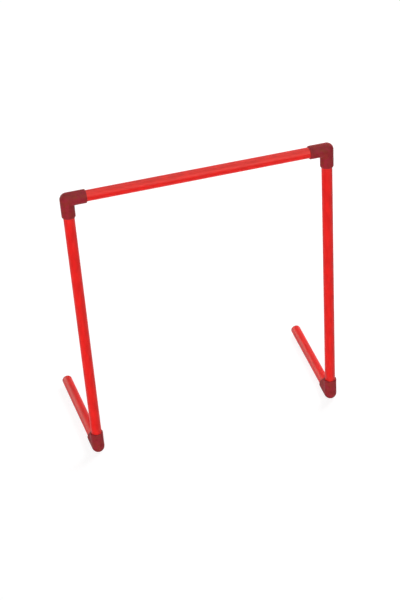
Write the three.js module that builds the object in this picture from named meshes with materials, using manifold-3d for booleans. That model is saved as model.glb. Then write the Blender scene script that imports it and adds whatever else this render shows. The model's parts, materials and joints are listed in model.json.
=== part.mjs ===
// Agility hurdle: a crossbar on two uprights, with two feet that run back along the floor.
// Five plastic tubes push into four moulded elbows, and a domed plug closes each foot.
// Millimetres, +Z up, +X to the right, +Y back along the feet. The origin is on the floor,
// at the middle of the ground that the hurdle covers.

import * as THREE from 'three';
import { mergeVertices } from 'three/addons/utils/BufferGeometryUtils.js';
import Module from 'manifold-3d';

const wasm = await Module();
wasm.setup();

// Frame: distances between the tubes' centre lines
const frameWidth = 475;
const frameHeight = 540;
const footReach = 237; // from the upright's centre line to the tip of the foot's plug, so both feet fold in flat

// How far each foot stands turned outward in its socket, in degrees
const leftToeOut = 2.9;
const rightToeOut = 2.6;

// Tube
const tubeDiameter = 20;
const tubeWall = 1.8;

// Elbow: two sockets at a right angle
const elbowWall = 2.2; // round the socket
const elbowLeg = 34; // from the corner's centre to the socket's mouth
const socketDepth = 20;
const fitClearance = 0.3; // between a tube and its socket, all round and at its end
const stopHeight = 1.5; // how far the stop shoulder stands in from the socket's wall
const mouthTaper = 2.2; // length of the leg over which the outside rounds in towards the mouth
const mouthRim = 0.5; // flat left between that rounding and the socket

// Plug: a domed head as wide as the tube, on a hollow stem with fins
const headRim = 1.2;
const headDome = 3.2;
const stemLength = 16;
const stemWall = 1.6;
const finHeight = 0.9;
const finLength = 2.6;
const finCount = 4;
const stemTip = 1.2; // plain stem ahead of the first fin

// Facets
const sides = 32; // round each tube and elbow, a multiple of four
const taperSteps = 3;
const domeSteps = 5;

const tubeRadius = tubeDiameter / 2;
const boreRadius = tubeRadius - tubeWall;
const socketRadius = tubeRadius + fitClearance;
const elbowRadius = socketRadius + elbowWall;
const passageRadius = socketRadius - stopHeight;
const stopDistance = elbowLeg - socketDepth;
const tubeStart = stopDistance + fitClearance;
const footTubeEnd = footReach - headDome - headRim - fitClearance;

const halfFacet = Math.PI / sides;
const quarterTurn = Math.PI / 2;

const tubePlastic = new THREE.MeshStandardMaterial({ color: 0xe3262a, roughness: 0.38, metalness: 0 });
const elbowPlastic = new THREE.MeshStandardMaterial({ color: 0x93292f, roughness: 0.5, metalness: 0 });
const plugPlastic = new THREE.MeshStandardMaterial({ color: 0xd4262b, roughness: 0.45, metalness: 0 });

// One closed surface: corners that coincide are shared, and faces without area are dropped
function closed(geometry) {
  geometry.deleteAttribute('normal');
  geometry.deleteAttribute('uv');
  const merged = mergeVertices(geometry, 1e-4);
  const kept = [];
  for (let i = 0; i < merged.index.count; i += 3) {
    const [a, b, c] = merged.index.array.subarray(i, i + 3);
    if (a !== b && b !== c && c !== a) {
      kept.push(a, b, c);
    }
  }
  merged.setIndex(kept);
  return merged;
}

// A profile of [radius, height] points turned about +Z, with flats that face +X, -X, +Y and -Y.
// The radius is the distance to the flats. Heights rise along the outside.
function turned(profile) {
  const points = profile.map(([radius, height]) => new THREE.Vector2(radius / Math.cos(halfFacet), height));
  return closed(new THREE.LatheGeometry(points, sides, halfFacet)).rotateX(quarterTurn);
}

// A ball for the corner where two equal legs meet: the legs' own section turned about +X
function knuckle(radius) {
  const points = [new THREE.Vector2(0, -radius)];
  for (let i = sides / 2 - 1; i >= 0; i -= 1) {
    const angle = halfFacet * (2 * i + 1);
    const corner = radius / Math.cos(halfFacet);
    points.push(new THREE.Vector2(corner * Math.sin(angle), corner * Math.cos(angle)));
  }
  points.push(new THREE.Vector2(0, radius));
  return closed(new THREE.LatheGeometry(points, sides)).rotateZ(-quarterTurn);
}

function toSolid(geometry) {
  const vertProperties = new Float32Array(geometry.getAttribute('position').array);
  const triVerts = new Uint32Array(geometry.index.array);
  return new wasm.Manifold(new wasm.Mesh({ numProp: 3, vertProperties, triVerts }));
}

function toGeometry(solid) {
  const { vertProperties, triVerts } = solid.getMesh();
  const geometry = new THREE.BufferGeometry();
  geometry.setAttribute('position', new THREE.BufferAttribute(vertProperties, 3));
  geometry.setIndex(new THREE.BufferAttribute(triVerts, 1));
  return geometry;
}

// The same turned form along +Z and along +Y, joined at the corner by its knuckle
function bothLegs(profile, cornerRadius) {
  const upward = toSolid(turned(profile));
  const backward = toSolid(turned(profile).rotateX(-quarterTurn));
  return upward.add(backward).add(toSolid(knuckle(cornerRadius)));
}

// Elbow with one socket facing +Z and one facing +Y, its centre lines crossing at the origin
function elbowGeometry() {
  const outside = [[0, 0], [elbowRadius, 0]];
  for (let i = 0; i <= taperSteps; i += 1) {
    const turn = (quarterTurn * i) / taperSteps;
    outside.push([
      elbowRadius - (elbowWall - mouthRim) * (1 - Math.cos(turn)),
      elbowLeg - mouthTaper * (1 - Math.sin(turn)),
    ]);
  }
  outside.push([0, elbowLeg]);
  const pastMouth = elbowLeg + fitClearance;
  const inside = [
    [0, 0],
    [passageRadius, 0],
    [passageRadius, stopDistance],
    [socketRadius, stopDistance],
    [socketRadius, pastMouth],
    [0, pastMouth],
  ];
  return toGeometry(bothLegs(outside, elbowRadius).subtract(bothLegs(inside, passageRadius)));
}

// Tube standing on the origin along +Z
function tubeGeometry(length) {
  return turned([
    [boreRadius, 0],
    [tubeRadius, 0],
    [tubeRadius, length],
    [boreRadius, length],
    [boreRadius, 0],
  ]);
}

// Plug along +Z: the stem points down into the tube, and the head's underside is at height 0
function plugGeometry() {
  const finRadius = boreRadius - fitClearance;
  const stemRadius = finRadius - finHeight;
  const hollowRadius = stemRadius - stemWall;
  const finPitch = (stemLength - stemTip) / finCount;
  const profile = [[0, 0], [hollowRadius, 0], [hollowRadius, -stemLength], [stemRadius, -stemLength]];
  for (let i = 0; i < finCount; i += 1) {
    const foot = -stemLength + stemTip + i * finPitch;
    profile.push([stemRadius, foot], [finRadius, foot + finLength], [stemRadius, foot + finLength]);
  }
  profile.push([stemRadius, 0], [tubeRadius, 0]);
  for (let i = 0; i < domeSteps; i += 1) {
    const turn = (quarterTurn * i) / domeSteps;
    profile.push([tubeRadius * Math.cos(turn), headRim + headDome * Math.sin(turn)]);
  }
  profile.push([0, headRim + headDome]);
  return turned(profile);
}

function piece(name, geometry, material) {
  const mesh = new THREE.Mesh(geometry, material);
  mesh.name = name;
  return mesh;
}

// Bottom elbow, foot tube and plug, about the upright's centre line at the foot's height
function foot(side, turnDegrees) {
  const group = new THREE.Group();
  const elbow = piece(`${side}_bottom_elbow`, elbowGeometry(), elbowPlastic);
  const tube = piece(`${side}_foot_tube`, tubeGeometry(footTubeEnd - tubeStart), tubePlastic);
  tube.rotation.x = -quarterTurn;
  tube.position.y = tubeStart;
  const plug = piece(`${side}_foot_plug`, plugGeometry(), plugPlastic);
  plug.rotation.x = -quarterTurn;
  plug.position.y = footTubeEnd + fitClearance;
  group.add(elbow, tube, plug);
  group.rotation.z = THREE.MathUtils.degToRad(turnDegrees);
  return group;
}

// Crossbar, uprights and top elbows: the gate that stands on the two feet
function gate() {
  const group = new THREE.Group();
  const crossbar = piece('crossbar', tubeGeometry(frameWidth - 2 * tubeStart), tubePlastic);
  crossbar.rotation.y = quarterTurn;
  crossbar.position.set(tubeStart - frameWidth / 2, 0, frameHeight);
  group.add(crossbar);
  for (const [side, sign] of [['left', -1], ['right', 1]]) {
    const upright = piece(`${side}_upright`, tubeGeometry(frameHeight - 2 * tubeStart), tubePlastic);
    upright.position.set((sign * frameWidth) / 2, 0, tubeStart);
    const elbow = piece(`${side}_top_elbow`, elbowGeometry(), elbowPlastic);
    elbow.rotation.set(Math.PI, 0, sign * quarterTurn);
    elbow.position.set((sign * frameWidth) / 2, 0, frameHeight);
    group.add(upright, elbow);
  }
  return group;
}

const hurdle = new THREE.Group();
const leftFoot = foot('left', leftToeOut);
leftFoot.position.x = -frameWidth / 2;
const rightFoot = foot('right', -rightToeOut);
rightFoot.position.x = frameWidth / 2;
hurdle.add(gate(), leftFoot, rightFoot);

// Stand the bottom elbows on the floor and centre the hurdle's box on the origin
const box = new THREE.Box3().setFromObject(hurdle, true);
const middle = box.getCenter(new THREE.Vector3());
hurdle.position.set(-middle.x, -middle.y, elbowRadius);

export default hurdle;
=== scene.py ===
# Looks of the agility hurdle: fine meshes and plastics for its tubes, elbows and plugs.
# Metres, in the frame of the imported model: +Z up, +X to the right, +Y back along the feet.

import json
import math

import bpy
import numpy as np
from mathutils import Matrix, Vector


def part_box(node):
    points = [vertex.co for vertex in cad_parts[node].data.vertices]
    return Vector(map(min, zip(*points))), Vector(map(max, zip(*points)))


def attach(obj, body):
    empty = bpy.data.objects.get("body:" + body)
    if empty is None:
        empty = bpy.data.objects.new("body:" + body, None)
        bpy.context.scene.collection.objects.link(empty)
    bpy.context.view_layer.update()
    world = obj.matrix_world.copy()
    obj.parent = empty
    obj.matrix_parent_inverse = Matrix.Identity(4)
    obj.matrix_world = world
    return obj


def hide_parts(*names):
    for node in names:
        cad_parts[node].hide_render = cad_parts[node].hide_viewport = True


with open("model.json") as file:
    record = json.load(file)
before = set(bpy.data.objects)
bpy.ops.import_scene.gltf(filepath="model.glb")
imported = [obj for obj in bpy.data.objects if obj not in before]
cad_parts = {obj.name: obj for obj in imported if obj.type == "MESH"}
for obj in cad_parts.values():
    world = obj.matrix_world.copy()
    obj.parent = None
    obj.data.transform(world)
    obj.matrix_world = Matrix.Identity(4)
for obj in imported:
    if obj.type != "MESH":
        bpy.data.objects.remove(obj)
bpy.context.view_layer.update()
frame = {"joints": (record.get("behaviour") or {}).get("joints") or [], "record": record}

MM = 0.001
QUARTER_TURN = math.pi / 2

# Sizes that the frame gives
crossbar_low, crossbar_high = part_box("crossbar")
elbow_low, elbow_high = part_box("left_top_elbow")
TUBE_RADIUS = (crossbar_high.z - crossbar_low.z) / 2
ELBOW_RADIUS = (elbow_high.y - elbow_low.y) / 2
ELBOW_LEG = elbow_high.z - elbow_low.z - ELBOW_RADIUS  # from the corner's centre to the socket's mouth

# Sizes inside the pieces, which the frame's boxes don't give
TUBE_WALL = 1.8 * MM
FIT_GAP = 0.3 * MM  # between a tube and its socket, all round and at its end
SOCKET_DEPTH = 20 * MM
STOP_HEIGHT = 1.5 * MM  # how far the stop shoulder stands in from the socket's wall
SOCKET_RADIUS = TUBE_RADIUS + FIT_GAP
PASSAGE_RADIUS = SOCKET_RADIUS - STOP_HEIGHT
STOP_DISTANCE = ELBOW_LEG - SOCKET_DEPTH
TUBE_START = STOP_DISTANCE + FIT_GAP  # from the corner's centre to the seated tube's end
SEATED_LENGTH = SOCKET_DEPTH - FIT_GAP

# Edges and mould marks
TUBE_EDGE = 0.35 * MM
MOUTH_TAPER = 2.2 * MM  # length over which the elbow's outside rounds in towards the mouth
MOUTH_RIM = 0.5 * MM  # between that rounding and the socket
MOUTH_CHAMFER = 0.4 * MM
STOP_CHAMFER = 0.3 * MM
CROTCH_FILLET = 1.6 * MM
CORNER_SOFTNESS = 2.0 * MM  # distance over which the crotch's fillet passes into the heel's bend
PARTING_HEIGHT = 0.12 * MM
PARTING_WIDTH = 0.35 * MM  # reach of the parting line's ridge to each side

# Plug
PLUG_RIM = 1.2 * MM
PLUG_DOME = 3.15 * MM
PLUG_EDGE = 0.3 * MM
STEM_LENGTH = 16 * MM
STEM_WALL = 1.6 * MM
FIN_HEIGHT = 0.9 * MM
FIN_LENGTH = 2.6 * MM
FIN_COUNT = 4
STEM_TIP = 1.2 * MM

# Facets
TUBE_SIDES = 96  # the plugs have as many
TUBE_RING_STEP = 12 * MM
FILLET_STEPS = 4
DOME_STEPS = 18
ELBOW_SIDES = 104
PARTING_SPREAD = 0.07  # angle on each side of a parting line that has extra points, in radians
PARTING_STEPS = 6
CORNER_STEPS = 28
LEG_STEPS = 7
MOUTH_STEPS = 7
SHARP_ANGLE = math.radians(40)  # faces that meet at more than this have a hard edge

# Wear: how strong it is, and how far it reaches
TUBE_WEAR_WIDTH = 6 * MM
MOUTH_WEAR = 0.55
MOUTH_WEAR_WIDTH = 2.5 * MM
PARTING_WEAR = 0.45
PARTING_WEAR_WIDTH = 0.6 * MM
PLUG_WEAR = 0.5
PLUG_WEAR_WIDTH = 1.5 * MM

BODIES = frame["record"]["behaviour"]["bodies"]
BODY_OF = {node: body for body, nodes in BODIES.items() for node in nodes}
PIVOT = {joint["child"]: Vector(joint["pos_m"]) for joint in frame["joints"]}

# Each piece has a number, which gives it a pattern of its own
PIECES = (
    "crossbar",
    "left_upright",
    "right_upright",
    "left_top_elbow",
    "right_top_elbow",
    "left_bottom_elbow",
    "right_bottom_elbow",
    "left_foot_tube",
    "right_foot_tube",
    "left_foot_plug",
    "right_foot_plug",
)
SEED = {node: number for number, node in enumerate(PIECES, start=1)}


def new_object(name, data):
    """An object in the scene's own collection."""
    thing = bpy.data.objects.new(name, data)
    bpy.context.scene.collection.objects.link(thing)
    return thing


# Camera, at the photograph's viewing angle

CAMERA_AIM = Vector((-0.01443, -0.1121, 0.29268))
CAMERA_AZIMUTH = -14.0974
CAMERA_ELEVATION = 32.9019
CAMERA_DISTANCE = 2.62745
CAMERA_ROLL = -4.2054
CAMERA_LENS = 85.36


def towards(azimuth, elevation):
    """Unit vector from the hurdle to a place round it. Azimuth 0 is in front, and 90 to the right."""
    turn = math.radians(azimuth)
    rise = math.radians(elevation)
    return Vector((math.sin(turn) * math.cos(rise), -math.cos(turn) * math.cos(rise), math.sin(rise)))


def facing(place, target):
    """Matrix of a camera or lamp that stands at a place and looks at a target, with its top up."""
    turn = (target - place).to_track_quat("-Z", "Y").to_matrix().to_4x4()
    return Matrix.Translation(place) @ turn


def make_camera():
    data = bpy.data.cameras.new("camera")
    data.lens = CAMERA_LENS
    camera = new_object("camera", data)
    place = CAMERA_AIM + CAMERA_DISTANCE * towards(CAMERA_AZIMUTH, CAMERA_ELEVATION)
    camera.matrix_world = facing(place, CAMERA_AIM) @ Matrix.Rotation(math.radians(CAMERA_ROLL), 4, "Z")
    bpy.context.scene.camera = camera


# Node trees

def add(tree, kind, inputs=None, **settings):
    """A node with its settings, and its inputs set to values or linked to sockets."""
    node = tree.nodes.new(kind)
    for name, value in settings.items():
        setattr(node, name, value)
    for key, value in (inputs or {}).items():
        if isinstance(value, bpy.types.NodeSocket):
            tree.links.new(value, node.inputs[key])
        else:
            node.inputs[key].default_value = value
    return node


def calculate(tree, operation, *values, clamp=False):
    inputs = dict(enumerate(values))
    return add(tree, "ShaderNodeMath", inputs, operation=operation, use_clamp=clamp).outputs[0]


def share_of(tree, value, share):
    return calculate(tree, "MULTIPLY", value, share)


def plus_share(tree, base, value, share):
    """The base with a share of the value added."""
    return calculate(tree, "MULTIPLY_ADD", value, share, base)


def blend_colours(tree, share, first, second):
    """The first colour where the share is 0, and the second where it is 1."""
    return add(tree, "ShaderNodeMix", {0: share, 6: first, 7: second}, data_type="RGBA").outputs[2]


def between(tree, value, low, high):
    """0 below low, 1 above high, smooth in between."""
    inputs = {"Value": value, "From Min": low, "From Max": high}
    return add(tree, "ShaderNodeMapRange", inputs, interpolation_type="SMOOTHSTEP").outputs[0]


def attribute(tree, name, output="Fac"):
    """What a piece's mesh stores under a name."""
    return add(tree, "ShaderNodeAttribute", attribute_name=name).outputs[output]


def noise(tree, across, along, shift=0.0, detail=2.0, roughness=0.5):
    """Noise on a piece's own coordinates, with the sizes of its grains across and along the piece."""
    place = attribute(tree, "place", "Vector")
    scale = (1 / across, 1 / across, 1 / along)
    scaled = add(tree, "ShaderNodeVectorMath", {0: place, 1: scale}, operation="MULTIPLY")
    inputs = {
        "Vector": scaled.outputs[0],
        "W": calculate(tree, "ADD", attribute(tree, "seed"), shift),
        "Scale": 1.0,
        "Detail": detail,
        "Roughness": roughness,
    }
    return add(tree, "ShaderNodeTexNoise", inputs, noise_dimensions="4D").outputs["Fac"]


def even_noise(tree, size, **settings):
    """Noise with round grains."""
    return noise(tree, across=size, along=size, **settings)


# Materials

PLASTIC_IOR = 1.45

# Each roughness is the least that its plastic has, before streaks, scuffs and grain add to it
TUBE_RED = (0.85, 0.0112, 0.0078, 1)
TUBE_RED_DEEP = (0.72, 0.0082, 0.0060, 1)
TUBE_SCUFF = (0.79, 0.075, 0.065, 1)
TUBE_ROUGHNESS = 0.26

ELBOW_MAROON = (0.308, 0.0185, 0.0320, 1)
ELBOW_BROWN = (0.256, 0.0270, 0.0215, 1)
ELBOW_SHADE = (0.218, 0.0140, 0.0215, 1)
ELBOW_WORN = (0.346, 0.0244, 0.0334, 1)
ELBOW_ROUGHNESS = 0.37

PLUG_RED = (0.695, 0.0069, 0.0059, 1)
PLUG_RED_DEEP = (0.576, 0.0039, 0.0049, 1)
PLUG_SHADE = (0.496, 0.0024, 0.0034, 1)
PLUG_ROUGHNESS = 0.31


def plastic(name, specular_level):
    """A material with its tree and its Principled shader. Constants are on the shader's own sockets."""
    material = bpy.data.materials.new(name)
    material.use_nodes = True
    tree = material.node_tree
    shader = tree.nodes["Principled BSDF"]
    shader.inputs["Specular IOR Level"].default_value = specular_level
    shader.inputs["IOR"].default_value = PLASTIC_IOR
    return material, tree, shader


def finish_plastic(tree, shader, colour, roughness, height, bump_depth):
    """The colour, the roughness and the bump go to the shader."""
    tree.links.new(colour, shader.inputs["Base Color"])
    tree.links.new(roughness, shader.inputs["Roughness"])
    bump = add(tree, "ShaderNodeBump", {"Height": height, "Distance": bump_depth})
    tree.links.new(bump.outputs["Normal"], shader.inputs["Normal"])


def extruded_plastic():
    """Satin tube: mottled red, with die lines, waves and scuffs along it, and rubbed by the sockets."""
    material, tree, shader = plastic("extruded_plastic", specular_level=0.20)
    mottle = noise(tree, across=9 * MM, along=26 * MM, detail=3)
    streak = noise(tree, across=0.9 * MM, along=120 * MM, shift=3.1)
    wave = noise(tree, across=4.5 * MM, along=34 * MM, shift=5.9, detail=1)
    grain = noise(tree, across=0.35 * MM, along=0.5 * MM, shift=7.7)
    patch = noise(tree, across=18 * MM, along=42 * MM, shift=11.3)
    scratch = noise(tree, across=0.5 * MM, along=14 * MM, shift=17.9, detail=1)
    wear = attribute(tree, "wear")

    rubbed = calculate(tree, "MAXIMUM", between(tree, patch, low=0.52, high=0.72), wear)
    scuff = calculate(tree, "MULTIPLY", between(tree, scratch, low=0.58, high=0.72), rubbed)
    colour = blend_colours(tree, between(tree, mottle, low=0.3, high=0.7), TUBE_RED_DEEP, TUBE_RED)
    colour = blend_colours(tree, share_of(tree, streak, 0.25), colour, TUBE_RED_DEEP)
    colour = blend_colours(tree, share_of(tree, scuff, 0.5), colour, TUBE_SCUFF)
    colour = blend_colours(tree, share_of(tree, wear, 0.12), colour, TUBE_SCUFF)

    roughness = plus_share(tree, TUBE_ROUGHNESS, streak, 0.12)
    roughness = plus_share(tree, roughness, mottle, 0.14)
    roughness = plus_share(tree, roughness, scuff, 0.18)
    height = plus_share(tree, streak, grain, 0.35)
    height = plus_share(tree, height, wave, 5.0)
    height = plus_share(tree, height, scuff, -0.8)
    finish_plastic(tree, shader, colour, roughness, height, bump_depth=0.03 * MM)
    return material


def moulded_plastic(name, first, second, shade, worn, base_roughness):
    """Dull moulded piece: fine grain, a cloudy colour, and the worn one where the wear is high."""
    material, tree, shader = plastic(name, specular_level=0.08)
    cloud = even_noise(tree, 8 * MM, detail=3, roughness=0.6)
    blotch = even_noise(tree, 6 * MM, shift=2.7)
    grain = even_noise(tree, 0.4 * MM, shift=5.3, detail=3)
    dimple = even_noise(tree, 2.2 * MM, shift=9.1)
    speck = even_noise(tree, 0.8 * MM, shift=13.7, detail=1)
    wear = attribute(tree, "wear")

    blotch_share = share_of(tree, between(tree, blotch, low=0.48, high=0.68), 0.65)
    speck_share = share_of(tree, between(tree, speck, low=0.62, high=0.75), 0.3)
    worn_share = calculate(tree, "MULTIPLY", wear, plus_share(tree, 0.2, dimple, 0.8), clamp=True)
    colour = blend_colours(tree, between(tree, cloud, low=0.38, high=0.62), first, second)
    colour = blend_colours(tree, blotch_share, colour, shade)
    colour = blend_colours(tree, speck_share, colour, worn)
    colour = blend_colours(tree, worn_share, colour, worn)

    roughness = plus_share(tree, base_roughness, grain, 0.16)
    roughness = plus_share(tree, roughness, blotch, 0.10)
    height = plus_share(tree, grain, dimple, 1.4)
    finish_plastic(tree, shader, colour, roughness, height, bump_depth=0.06 * MM)
    return material


def elbow_moulding():
    colours = (ELBOW_MAROON, ELBOW_BROWN, ELBOW_SHADE, ELBOW_WORN)
    return moulded_plastic("elbow_moulding", *colours, base_roughness=ELBOW_ROUGHNESS)


def plug_moulding():
    colours = (PLUG_RED_DEEP, PLUG_RED, PLUG_SHADE, TUBE_SCUFF)
    return moulded_plastic("plug_moulding", *colours, base_roughness=PLUG_ROUGHNESS)


PLASTICS = {
    "tube_plastic": extruded_plastic(),
    "elbow_plastic": elbow_moulding(),
    "plug_plastic": plug_moulding(),
}


# Meshes

def even_angles(count):
    return [2 * math.pi * i / count for i in range(count)]


def faces_between(rows, columns, closed):
    """Quads of a grid of rings. The columns close on themselves, and so do the rows if closed is true."""
    last = rows if closed else rows - 1
    faces = []
    for i in range(last):
        for j in range(columns):
            k = (j + 1) % columns
            below = (i + 1) % rows
            faces.append((i * columns + j, i * columns + k, below * columns + k, below * columns + j))
    return faces


def turned(profile):
    """Profile of (radius, height) turned about +Z. It closes on itself, or starts and ends on the axis."""
    off_axis = [point for point in profile if point[0] > 0]
    closed = len(off_axis) == len(profile)
    angles = even_angles(TUBE_SIDES)
    points = np.array([(r * math.cos(a), r * math.sin(a), z) for r, z in off_axis for a in angles])
    faces = faces_between(len(off_axis), TUBE_SIDES, closed)
    if not closed:
        start = len(points)
        last_ring = start - TUBE_SIDES
        points = np.vstack([points, (0, 0, profile[0][1]), (0, 0, profile[-1][1])])
        for j in range(TUBE_SIDES):
            k = (j + 1) % TUBE_SIDES
            faces.append((start, k, j))
            faces.append((start + 1, last_ring + j, last_ring + k))
    return points, faces


def rounded_corner(before, corner, after, size):
    """Points of a small fillet that replaces a corner of a profile."""
    before, corner, after = (np.array(point) for point in (before, corner, after))
    start = corner + (before - corner) / np.linalg.norm(before - corner) * size
    end = corner + (after - corner) / np.linalg.norm(after - corner) * size
    shares = np.linspace(0, 1, FILLET_STEPS + 1)
    return [tuple((1 - t) ** 2 * start + 2 * t * (1 - t) * corner + t * t * end) for t in shares]


def tube_profile(length):
    """Section of a tube's wall from height 0 up, with its four edges rounded."""
    bore = TUBE_RADIUS - TUBE_WALL
    corners = [(bore, 0), (TUBE_RADIUS, 0), (TUBE_RADIUS, length), (bore, length)]
    edges = (TUBE_EDGE / 2, TUBE_EDGE, TUBE_EDGE, TUBE_EDGE / 2)
    fillets = []
    for i, edge in enumerate(edges):
        following = corners[(i + 1) % len(corners)]
        fillets.append(rounded_corner(corners[i - 1], corners[i], following, edge))
    steps = round(length / TUBE_RING_STEP)
    outside = [(TUBE_RADIUS, z) for z in np.linspace(TUBE_EDGE, length - TUBE_EDGE, steps + 1)[1:-1]]
    return fillets[0] + fillets[1] + outside + fillets[2] + fillets[3]


def plug_profile():
    """Domed head from height 0 up, and the hollow stem with its fins below."""
    fin_radius = TUBE_RADIUS - TUBE_WALL - FIT_GAP
    stem_radius = fin_radius - FIN_HEIGHT
    hollow = stem_radius - STEM_WALL
    pitch = (STEM_LENGTH - STEM_TIP) / FIN_COUNT
    profile = [(0, 0), (hollow, 0), (hollow, -STEM_LENGTH), (stem_radius, -STEM_LENGTH)]
    for i in range(FIN_COUNT):
        foot = -STEM_LENGTH + STEM_TIP + i * pitch
        profile += [(stem_radius, foot), (fin_radius, foot + FIN_LENGTH), (stem_radius, foot + FIN_LENGTH)]
    under_edge = (TUBE_RADIUS - PLUG_EDGE, 0)
    profile += [(stem_radius, 0), under_edge]
    profile += rounded_corner(under_edge, (TUBE_RADIUS, 0), (TUBE_RADIUS, PLUG_RIM), PLUG_EDGE)[1:]
    for turn in np.linspace(0, QUARTER_TURN, DOME_STEPS + 1)[:-1]:
        profile.append((TUBE_RADIUS * math.cos(turn), PLUG_RIM + PLUG_DOME * math.sin(turn)))
    profile.append((0, PLUG_RIM + PLUG_DOME))
    return profile


def elbow_angles():
    """Angles round a leg, evenly spaced, with extra ones beside the two parting lines."""
    angles = even_angles(ELBOW_SIDES)
    for parting in (0.0, math.pi):
        for i in range(PARTING_STEPS):
            spread = PARTING_SPREAD * (i + 1) / (PARTING_STEPS + 1)
            angles += [parting + spread, parting - spread]
    return np.array(sorted(angle % (2 * math.pi) for angle in angles))


ELBOW_ANGLES = elbow_angles()


def elbow_section(radius):
    """A section across a leg, as x and the offset from the leg's centre line towards the other leg.
    Its direction makes the elbow's faces point outward. The outside has the parting line's ridge."""
    on_outside = radius > SOCKET_RADIUS + MOUTH_RIM / 2
    ridge_height = PARTING_HEIGHT if on_outside else 0.0
    ridge = ridge_height * np.exp(-((np.sin(ELBOW_ANGLES) * radius / PARTING_WIDTH) ** 2))
    return -(radius + ridge) * np.sin(ELBOW_ANGLES), -(radius + ridge) * np.cos(ELBOW_ANGLES)


def leg_ring(radius, height, upward):
    """A ring across the leg that runs up, or across the one that runs back."""
    x, offset = elbow_section(radius)
    along = np.full_like(x, height)
    return np.stack([x, offset, along] if upward else [x, along, offset], axis=1)


def corner_rings(radius):
    """Rings round the corner, from the leg that runs up to the leg that runs back.
    The bend is full at the heel and a small fillet at the crotch."""
    x, offset = elbow_section(radius)
    past_crotch = (-offset - CROTCH_FILLET) / CORNER_SOFTNESS
    reach = CROTCH_FILLET + CORNER_SOFTNESS * np.log1p(np.exp(past_crotch))
    rings = []
    for turn in np.linspace(0, QUARTER_TURN, CORNER_STEPS + 1):
        y = offset + reach - reach * math.cos(turn)
        z = offset + reach - reach * math.sin(turn)
        rings.append(np.stack([x, y, z], axis=1))
    return rings


def leg_profile(shell):
    """(Radius, height) points along a leg: its outside, its rounded mouth, the socket and the stop."""
    start = ELBOW_RADIUS + 2 * CROTCH_FILLET
    heights = np.linspace(start, ELBOW_LEG - MOUTH_TAPER, LEG_STEPS + 1)[:-1]
    points = [(shell, height) for height in heights]
    rim = SOCKET_RADIUS + MOUTH_RIM
    for turn in np.linspace(0, QUARTER_TURN, MOUTH_STEPS + 1):
        radius = shell - (shell - rim) * (1 - math.cos(turn))
        points.append((radius, ELBOW_LEG - MOUTH_TAPER * (1 - math.sin(turn))))
    points += [
        (SOCKET_RADIUS + MOUTH_CHAMFER, ELBOW_LEG),
        (SOCKET_RADIUS, ELBOW_LEG - MOUTH_CHAMFER),
        (SOCKET_RADIUS, STOP_DISTANCE + STOP_CHAMFER),
        (SOCKET_RADIUS - STOP_CHAMFER, STOP_DISTANCE),
        (PASSAGE_RADIUS + STOP_CHAMFER, STOP_DISTANCE),
        (PASSAGE_RADIUS, STOP_DISTANCE - STOP_CHAMFER),
    ]
    return points


def elbow_mesh():
    """Elbow with one socket up and one back: one closed surface over outside, mouths and passage."""
    shell = ELBOW_RADIUS - PARTING_HEIGHT
    profile = leg_profile(shell)
    rings = corner_rings(shell)
    rings += [leg_ring(radius, height, upward=False) for radius, height in profile]
    rings += corner_rings(PASSAGE_RADIUS)[::-1]
    rings += [leg_ring(radius, height, upward=True) for radius, height in profile[::-1]]
    grid = np.array(rings)
    return grid.reshape(-1, 3), faces_between(grid.shape[0], grid.shape[1], closed=True)


# Pieces

def store(mesh, name, values):
    """A number or a vector for each point, under a name that the materials read."""
    kind, key = ("FLOAT_VECTOR", "vector") if values.ndim == 2 else ("FLOAT", "value")
    mesh.attributes.new(name, kind, "POINT").data.foreach_set(key, values.astype(np.float32).ravel())


def make_piece(node, slot, points, faces, wear, matrix):
    """A mesh that stands for a node of the frame, is placed by the matrix and moves with its body."""
    name = node + "_shell"
    mesh = bpy.data.meshes.new(name)
    mesh.from_pydata([tuple(point) for point in points], [], faces)
    store(mesh, "place", points)
    store(mesh, "wear", wear)
    store(mesh, "seed", np.full(len(points), SEED[node]))
    mesh.transform(matrix)
    mesh.polygons.foreach_set("use_smooth", [True] * len(mesh.polygons))
    mesh.set_sharp_from_angle(angle=SHARP_ANGLE)
    mesh.materials.append(PLASTICS[slot])
    mesh.update()
    piece = new_object(name, mesh)
    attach(piece, BODY_OF[node])
    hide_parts(node)


def make_tube(node, length, matrix, far_socket=True):
    """Tube along the matrix's +Z. Its near end stands in a socket.
    Its far end does too, unless far_socket is false."""
    points, faces = turned(tube_profile(length))
    heights = points[:, 2]
    from_mouth = np.abs(heights - SEATED_LENGTH)
    if far_socket:
        from_mouth = np.minimum(from_mouth, np.abs(length - heights - SEATED_LENGTH))
    wear = np.exp(-from_mouth / TUBE_WEAR_WIDTH)
    make_piece(node, "tube_plastic", points, faces, wear, matrix)


def make_elbow(node, matrix):
    points, faces = elbow_mesh()
    reach = np.maximum(points[:, 1], points[:, 2])
    near_mouth = np.exp(-np.maximum(ELBOW_LEG - reach, 0) / MOUTH_WEAR_WIDTH)
    near_parting = np.exp(-((points[:, 0] / PARTING_WEAR_WIDTH) ** 2))
    wear = np.maximum(MOUTH_WEAR * near_mouth, PARTING_WEAR * near_parting)
    make_piece(node, "elbow_plastic", points, faces, wear, matrix)


def make_plug(node, matrix):
    points, faces = turned(plug_profile())
    from_edge = np.hypot(points[:, 0], points[:, 1]) - TUBE_RADIUS
    wear = PLUG_WEAR * np.exp(-((from_edge / PLUG_WEAR_WIDTH) ** 2))
    make_piece(node, "plug_plastic", points, faces, wear, matrix)


def make_crossbar():
    middle = (crossbar_low + crossbar_high) / 2
    start = Vector((crossbar_low.x, middle.y, middle.z))
    along_x = Matrix.Translation(start) @ Matrix.Rotation(QUARTER_TURN, 4, "Y")
    make_tube("crossbar", crossbar_high.x - crossbar_low.x, along_x)


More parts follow.
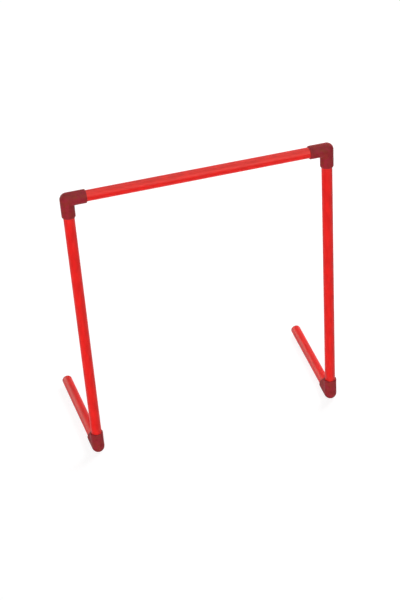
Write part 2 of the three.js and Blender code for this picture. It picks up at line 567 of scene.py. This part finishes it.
def make_post(side, sign):
    """Upright with the elbow on top of it. The sign is -1 on the left and 1 on the right."""
    low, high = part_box(side + "_upright")
    centre = (low + high) / 2
    make_tube(side + "_upright", high.z - low.z, Matrix.Translation((centre.x, centre.y, low.z)))
    corner = Matrix.Translation((centre.x, centre.y, (crossbar_low.z + crossbar_high.z) / 2))
    turn = Matrix.Rotation(math.pi, 4, "X") @ Matrix.Rotation(sign * QUARTER_TURN, 4, "Z")
    make_elbow(side + "_top_elbow", corner @ turn)


def along_foot(foot, distance):
    """Matrix whose +Z runs along the foot's +Y, at a distance along it."""
    return foot @ Matrix.Translation((0, distance, 0)) @ Matrix.Rotation(-QUARTER_TURN, 4, "X")


def make_foot(side):
    """Bottom elbow, foot tube and plug, in the foot's own frame: at its swivel, +Y along the foot."""
    pivot = PIVOT[side + "_foot"]
    low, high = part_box(side + "_foot_tube")
    middle = (low + high) / 2 - pivot
    foot = Matrix.Translation(pivot) @ Matrix.Rotation(math.atan2(-middle.x, middle.y), 4, "Z")
    length = 2 * (math.hypot(middle.x, middle.y) - TUBE_START)
    make_elbow(side + "_bottom_elbow", foot)
    make_tube(side + "_foot_tube", length, along_foot(foot, TUBE_START), far_socket=False)
    make_plug(side + "_foot_plug", along_foot(foot, TUBE_START + length + FIT_GAP))


def make_hurdle():
    make_crossbar()
    for side, sign in (("left", -1), ("right", 1)):
        make_post(side, sign)
        make_foot(side)


# Floor, world and lamps

FLOOR_HALF = 8.0
FLOOR_GREY = 0.95  # as other surfaces see the floor
FLOOR_SHADE = 0.25  # as the camera sees it: what the lamps light, and a shadow can darken
SHADOW_REACH = 0.8  # from this distance on, the floor's own glow rises to plain white
SKY_LIGHT = 0.15
WHITE = (1.0, 1.0, 1.0)
WARM_WHITE = (1.0, 0.98, 0.86)


def grey(level):
    return (level, level, level, 1)


def cleared_tree(owner):
    """The node tree of a world or a material, without its first nodes."""
    owner.use_nodes = True
    owner.node_tree.nodes.clear()
    return owner.node_tree


def seen_or_lighting(tree, lighting, seen):
    """One shader for the rays that light surfaces. The other is for rays from the camera, and for
    mirrored and transmitted ones, which show the same white."""
    path = add(tree, "ShaderNodeLightPath")
    directly = calculate(tree, "MAXIMUM", path.outputs["Is Camera Ray"], path.outputs["Is Glossy Ray"])
    directly = calculate(tree, "MAXIMUM", directly, path.outputs["Is Transmission Ray"])
    shaders = {0: directly, 1: lighting.outputs[0], 2: seen.outputs[0]}
    return add(tree, "ShaderNodeMixShader", shaders).outputs[0]


def make_world():
    """Soft light all round. Directly seen or mirrored, the world is plain white."""
    world = bpy.data.worlds.new("studio")
    bpy.context.scene.world = world
    tree = cleared_tree(world)
    ambient = add(tree, "ShaderNodeBackground", {"Color": grey(1), "Strength": SKY_LIGHT})
    white = add(tree, "ShaderNodeBackground", {"Color": grey(1), "Strength": 1.0})
    add(tree, "ShaderNodeOutputWorld", {"Surface": seen_or_lighting(tree, ambient, white)})


def pale_floor():
    """White where it is seen, darker only in the hurdle's own shadow."""
    material = bpy.data.materials.new("pale_floor")
    tree = cleared_tree(material)
    lit = add(tree, "ShaderNodeBsdfDiffuse", {"Color": grey(FLOOR_SHADE)})
    place = add(tree, "ShaderNodeNewGeometry").outputs["Position"]
    distance = add(tree, "ShaderNodeVectorMath", {0: place}, operation="LENGTH").outputs["Value"]
    far = between(tree, distance, low=SHADOW_REACH, high=FLOOR_HALF / 2)
    strength = plus_share(tree, 1.0 - FLOOR_SHADE / 2, far, FLOOR_SHADE / 2)
    glow = add(tree, "ShaderNodeEmission", {"Strength": strength})
    seen = add(tree, "ShaderNodeAddShader", {0: lit.outputs[0], 1: glow.outputs[0]})
    plain = add(tree, "ShaderNodeBsdfDiffuse", {"Color": grey(FLOOR_GREY)})
    add(tree, "ShaderNodeOutputMaterial", {"Surface": seen_or_lighting(tree, plain, seen)})
    return material


def make_floor():
    mesh = bpy.data.meshes.new("floor")
    corners = [(x * FLOOR_HALF, y * FLOOR_HALF, 0) for x, y in ((-1, -1), (1, -1), (1, 1), (-1, 1))]
    mesh.from_pydata(corners, [], [(0, 1, 2, 3)])
    mesh.materials.append(pale_floor())
    floor = new_object("floor", mesh)


def make_lamp(name, azimuth, elevation, distance, size, radiance, diffuse=True, glossy=True, colour=WHITE):
    """Square soft lamp that faces the hurdle, with the brightness of its face."""
    data = bpy.data.lights.new(name, "AREA")
    data.shape = "SQUARE"
    data.size = size
    data.energy = radiance * math.pi * size * size
    data.color = colour
    lamp = new_object(name, data)
    lamp.matrix_world = facing(CAMERA_AIM + distance * towards(azimuth, elevation), CAMERA_AIM)
    lamp.visible_camera = False
    lamp.visible_diffuse = diffuse
    lamp.visible_glossy = glossy


def make_softbox(name, **settings):
    """A lamp that lights the surfaces and that their gloss doesn't show."""
    make_lamp(name, glossy=False, **settings)


def make_card(name, **settings):
    """A bright card that only the surfaces' gloss shows."""
    make_lamp(name, diffuse=False, colour=WARM_WHITE, **settings)


def make_lamps():
    make_softbox("front_softbox", azimuth=-28, elevation=10, distance=5.0, size=2.6, radiance=8.5)
    make_softbox("back_softbox", azimuth=130, elevation=36, distance=2.0, size=1.1, radiance=9.6)
    make_card("front_card", azimuth=20, elevation=20, distance=3.0, size=1.9, radiance=5.7)
    make_card("overhead_card", azimuth=18, elevation=80, distance=2.0, size=3.8, radiance=3.2)
    make_card("rear_left_card", azimuth=-147, elevation=7, distance=6.0, size=5.2, radiance=3.8)


make_camera()
make_hurdle()
make_world()
make_floor()
make_lamps()

bpy.context.scene.view_settings.view_transform = "Standard"
